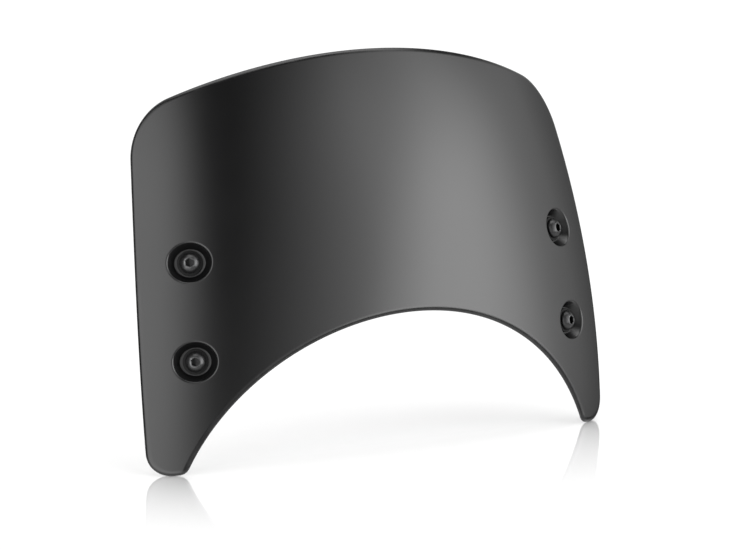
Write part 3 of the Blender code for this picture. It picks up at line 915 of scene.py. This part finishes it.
def rubber_material():
    """Black rubber with a faint grey bloom and fine specks."""
    made, tree, shader, where = new_material("grommet_rubber")
    bloom = remap(tree, noise(tree, where, size=0.003, detail=4.0), 0.45, 0.75, 0.0, 1.0)
    set_inputs(tree, shader, {
        "Base Color": mix_colour(tree, bloom, (0.010, 0.010, 0.010), (0.026, 0.026, 0.025)),
        "Roughness": remap(tree, bloom, 0.0, 1.0, 0.62, 0.82),
        "Normal": bump(tree, noise(tree, where, size=0.0002, detail=3.0), 0.000012),
    })
    return made


def metal_material(name, low, high, roughness, ring_scale):
    """Bare or plated metal: blotched colour and roughness, and tool marks round the axis."""
    made, tree, shader, where = new_material(name)
    blotch = noise(tree, where, size=0.0018, detail=4.0)
    turning = {"Vector": where, "Scale": ring_scale, "Distortion": 2.0, "Detail": 2.0}
    marks = add_node(tree, "ShaderNodeTexWave", turning, wave_type="RINGS",
                     rings_direction="Z").outputs[0]
    set_inputs(tree, shader, {
        "Base Color": mix_colour(tree, blotch, low, high),
        "Metallic": 1.0,
        "Roughness": remap(tree, blotch, 0.3, 0.7, roughness, roughness + 0.14),
        "Normal": bump(tree, marks, 0.000003),
    })
    return made


def insert_material():
    """Satin blue nylon, slightly cloudy."""
    made, tree, shader, where = new_material("blue_nylon_ring")
    set_inputs(tree, shader, {
        "Base Color": mix_colour(tree, noise(tree, where, size=0.001),
                                 (0.035, 0.12, 0.34), (0.06, 0.19, 0.48)),
        "Roughness": remap(tree, noise(tree, where, size=0.0006), 0.3, 0.7, 0.38, 0.52),
        "Normal": bump(tree, noise(tree, where, size=0.0004), 0.000006),
    })
    return made


# ---- Assembly ----------------------------------------------------------------
def add_piece(name, mesh, matrix, body, node):
    """Links a piece at its place; it rides on a body and stands for a CAD node."""
    piece = bpy.data.objects.new(name, mesh)
    bpy.context.scene.collection.objects.link(piece)
    piece.matrix_world = matrix
    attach(piece, body)
    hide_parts(node)
    return piece


def fixing_pieces():
    """For each CAD node of a fixing: new name, mesh, material, body and the record's slot."""
    zinc = metal_material("zinc_plated_steel", low=(0.42, 0.44, 0.47), high=(0.66, 0.67, 0.68),
                          roughness=0.24, ring_scale=500.0)
    turned = metal_material("turned_sleeve", low=(0.55, 0.55, 0.56), high=(0.72, 0.72, 0.72),
                            roughness=0.22, ring_scale=1400.0)
    return {
        "screw": ("button_screw", screw_mesh(), screw_material(), "screw", "screw"),
        "head_washer": ("nylon_washer", head_washer_mesh(), nylon_washer_material(), "washer",
                        "nylon_washer"),
        "sleeve": ("spacer_sleeve", sleeve_mesh(), turned, None, "sleeve"),
        "grommet": ("rubber_bush", grommet_mesh(), rubber_material(), None, "rubber"),
        "rear_washer": ("plain_washer", rear_washer_mesh(), zinc, None, "steel"),
        "lock_nut": ("locking_nut", nut_mesh(), zinc, None, "steel"),
        "nut_insert": ("locking_ring", insert_mesh(), insert_material(), None, "nut_nylon"),
    }


def assemble():
    """The shell and the four fixings."""
    screen = screen_matrix()
    shell = shell_mesh(screen)
    shell.materials.append(shell_material())
    add_piece("shell_surface", shell, Matrix.Identity(4), "screen", "screen_shell")
    pieces = fixing_pieces()
    for _, mesh, material, _, _ in pieces.values():
        mesh.materials.append(material)
    for corner, seat in SEAT_FRAMES.items():
        for node, (name, mesh, _, body, slot) in pieces.items():
            rider = f"{body}_{corner}" if body else "screen"
            add_piece(f"{name}_{corner}", mesh, screen @ seat, rider, f"{node}_{corner}")


# ---- Studio ------------------------------------------------------------------
WHITE = (1.0, 1.0, 1.0, 1.0)
FLOOR_RADIUS = 4.0
FLOOR_WHITE = 0.87
FOOT_HALF_WIDTH = 0.11
GLOSS_FADE = 0.17           # distance from the feet at which the mirror sheen is gone
GLOSS_FALL = 1.4            # how fast it falls, as a power
SHEEN = (0.10, 0.66)        # the sheen seen from above, and at a glancing angle
WHITE_FROM = 0.02           # distance from the feet at which shadows begin to fade
WHITE_BY = 0.17             # and at which they are gone
WHITE_GLOW = 1.1            # of the plain white floor, just past the white of the background
AMBIENT = 0.03


def floor_material():
    """Pale polished floor: its shadows and its mirror sheen fade away from the feet, to plain white.

    Only the camera sees it; the studio light below the horizon stands for its glow.
    """
    made = bpy.data.materials.new("studio_floor")
    made.use_nodes = True
    tree = made.node_tree
    tree.nodes.clear()
    where = add_node(tree, "ShaderNodeTexCoord", {}).outputs["Object"]
    parts = add_node(tree, "ShaderNodeSeparateXYZ", {0: where})
    beside = math_of(tree, "SUBTRACT", math_of(tree, "ABSOLUTE", parts.outputs["X"]), FOOT_HALF_WIDTH)
    beside = math_of(tree, "MAXIMUM", beside, 0.0)
    distance = math_of(tree, "SQRT", math_of(tree, "ADD", math_of(tree, "MULTIPLY", beside, beside),
                       math_of(tree, "MULTIPLY", parts.outputs["Y"], parts.outputs["Y"])))
    fade = remap(tree, distance, 0.0, GLOSS_FADE, 1.0, 0.0)
    facing = add_node(tree, "ShaderNodeLayerWeight", {"Blend": 0.5}).outputs["Facing"]
    glancing = remap(tree, facing, 0.45, 0.80, *SHEEN)
    sheen = math_of(tree, "MULTIPLY", math_of(tree, "POWER", fade, GLOSS_FALL), glancing)
    faded = remap(tree, distance, WHITE_FROM, WHITE_BY, 0.0, 1.0, "SMOOTHSTEP")
    grain = remap(tree, noise(tree, where, size=0.02, detail=3.0), 0.0, 1.0, 0.03, 0.05)
    pale = (FLOOR_WHITE, FLOOR_WHITE, FLOOR_WHITE, 1.0)
    matt = add_node(tree, "ShaderNodeBsdfDiffuse", {"Color": pale})
    mirror = add_node(tree, "ShaderNodeBsdfGlossy", {"Color": WHITE, "Roughness": grain})
    white = add_node(tree, "ShaderNodeEmission", {"Color": WHITE, "Strength": WHITE_GLOW})
    under = add_node(tree, "ShaderNodeMixShader", {0: faded, 1: matt.outputs[0], 2: white.outputs[0]})
    mixed = add_node(tree, "ShaderNodeMixShader", {0: sheen, 1: under.outputs[0], 2: mirror.outputs[0]})
    seen = add_node(tree, "ShaderNodeLightPath", {}).outputs["Is Camera Ray"]
    clear = add_node(tree, "ShaderNodeBsdfTransparent", {})
    shown = add_node(tree, "ShaderNodeMixShader", {0: seen, 1: clear.outputs[0], 2: mixed.outputs[0]})
    add_node(tree, "ShaderNodeOutputMaterial", {"Surface": shown.outputs[0]})
    return made


def build_floor():
    """A wide round floor that the screen stands on."""
    builder = bmesh.new()
    bmesh.ops.create_circle(builder, cap_ends=True, segments=96, radius=FLOOR_RADIUS)
    mesh = bpy.data.meshes.new("studio_floor")
    builder.to_mesh(mesh)
    builder.free()
    mesh.materials.append(floor_material())
    floor = bpy.data.objects.new("studio_floor", mesh)
    floor.location.z = CAD_BOX[0].z
    bpy.context.scene.collection.objects.link(floor)


def softbox(tree, direction, bearing_deg, tilt, rise, fall, lower, upper, strength, power=1.0):
    """Light of a soft box on a bearing, by direction; every angle is in degrees.

    It comes up over rise and goes down over fall in azimuth from the bearing, and over lower and upper
    in elevation. Tilt is how far its sides lean to the left for each degree of elevation, and power
    above 1 makes it come up more slowly at first.
    """
    turn = -math.radians(bearing_deg)
    turned = add_node(tree, "ShaderNodeVectorRotate", {"Vector": direction, "Angle": turn},
                      rotation_type="Z_AXIS").outputs[0]
    parts = add_node(tree, "ShaderNodeSeparateXYZ", {0: turned})
    back = math_of(tree, "MULTIPLY", parts.outputs["Y"], -1.0)
    azimuth = math_of(tree, "DEGREES", math_of(tree, "ARCTAN2", parts.outputs["X"], back))
    elevation = math_of(tree, "DEGREES", math_of(tree, "ARCSINE", parts.outputs["Z"]))
    azimuth = math_of(tree, "ADD", azimuth, math_of(tree, "MULTIPLY", elevation, tilt))
    light = math_of(tree, "POWER", remap(tree, azimuth, *rise, 0.0, 1.0), power)
    for value, low, high, start, end in ((azimuth, *fall, 1.0, 0.0), (elevation, *lower, 0.0, 1.0),
                                         (elevation, *upper, 1.0, 0.0)):
        light = math_of(tree, "MULTIPLY", light, remap(tree, value, low, high, start, end, "SMOOTHSTEP"))
    return math_of(tree, "MULTIPLY", light, strength)


def build_light():
    """Soft studio light from all round, and a plain white background for the camera."""
    world = bpy.data.worlds.new("studio_light")
    bpy.context.scene.world = world
    world.use_nodes = True
    tree = world.node_tree
    tree.nodes.clear()
    direction = add_node(tree, "ShaderNodeTexCoord", {}).outputs["Generated"]
    round_about = {"bearing_deg": 180.0, "tilt": 0.0, "rise": (-181.0, -180.0), "fall": (180.0, 181.0)}
    key = softbox(tree, direction, bearing_deg=42.0, tilt=-0.15, rise=(-68.0, -22.0), fall=(6.0, 39.0),
                  lower=(-20.0, -10.0), upper=(33.0, 64.0), strength=2.7, power=1.45)
    shoulder = softbox(tree, direction, bearing_deg=42.0, tilt=-0.48, rise=(-30.0, -10.0),
                       fall=(-15.0, 79.0), lower=(-16.0, -9.0), upper=(18.0, 40.0), strength=3.3)
    left = softbox(tree, direction, bearing_deg=-62.0, tilt=0.17, rise=(-34.0, -18.0), fall=(23.0, 40.0),
                   lower=(-46.0, -27.0), upper=(34.0, 62.0), strength=3.15)
    back = softbox(tree, direction, bearing_deg=180.0, tilt=0.0, rise=(-60.0, -35.0), fall=(35.0, 60.0),
                   lower=(20.0, 34.0), upper=(64.0, 76.0), strength=1.3)
    backdrop = softbox(tree, direction, bearing_deg=180.0, tilt=0.0, rise=(-75.0, -50.0),
                       fall=(50.0, 75.0), lower=(-10.0, 0.0), upper=(20.0, 30.0), strength=1.0)
    crest = softbox(tree, direction, bearing_deg=95.0, tilt=0.0, rise=(-45.0, -20.0), fall=(20.0, 45.0),
                    lower=(46.0, 56.0), upper=(70.0, 80.0), strength=2.4)
    overhead = softbox(tree, direction, **round_about, lower=(66.0, 76.0), upper=(90.0, 91.0),
                       strength=2.8)
    floor_glow = softbox(tree, direction, **round_about, lower=(-91.0, -90.0), upper=(-40.0, -14.0),
                         strength=1.1)
    total = AMBIENT
    for box in (key, shoulder, left, back, backdrop, crest, overhead, floor_glow):
        total = math_of(tree, "ADD", box, total)
    studio = add_node(tree, "ShaderNodeBackground", {"Color": WHITE, "Strength": total})
    white = add_node(tree, "ShaderNodeBackground", {"Color": WHITE, "Strength": 1.0})
    seen = add_node(tree, "ShaderNodeLightPath", {}).outputs["Is Camera Ray"]
    mixed = add_node(tree, "ShaderNodeMixShader", {0: seen, 1: studio.outputs[0], 2: white.outputs[0]})
    add_node(tree, "ShaderNodeOutputWorld", {"Surface": mixed.outputs[0]})
    bpy.context.scene.view_settings.view_transform = "Standard"


# ---- Camera ------------------------------------------------------------------
CAMERA_AZIMUTH = math.radians(-29.5)
CAMERA_ELEVATION = math.radians(11.34)
CAMERA_DISTANCE = 1.5530
CAMERA_LENS = 149.56
EYE_ABOUT = Vector((0.0, -0.037921, -0.026416))     # from the middle of the CAD box
AIM_LEFT = 0.02482          # the point it looks at, left of that place and above it
AIM_UP = 0.01873


def build_camera():
    """A long lens from the left front, a little above the screen."""
    centre = (CAD_BOX[0] + CAD_BOX[1]) / 2.0 + EYE_ABOUT
    flat = math.cos(CAMERA_ELEVATION)
    back = Vector((math.sin(CAMERA_AZIMUTH) * flat, -math.cos(CAMERA_AZIMUTH) * flat,
                   math.sin(CAMERA_ELEVATION)))
    right = Vector((math.cos(CAMERA_AZIMUTH), math.sin(CAMERA_AZIMUTH), 0.0))
    eye = centre + back * CAMERA_DISTANCE
    aim = centre - right * AIM_LEFT + back.cross(right) * AIM_UP
    data = bpy.data.cameras.new("camera")
    data.lens = CAMERA_LENS
    camera = bpy.data.objects.new("camera", data)
    bpy.context.scene.collection.objects.link(camera)
    camera.location = eye
    camera.rotation_euler = (eye - aim).to_track_quat("Z", "Y").to_euler()
    bpy.context.scene.camera = camera


assemble()
build_floor()
build_light()
build_camera()
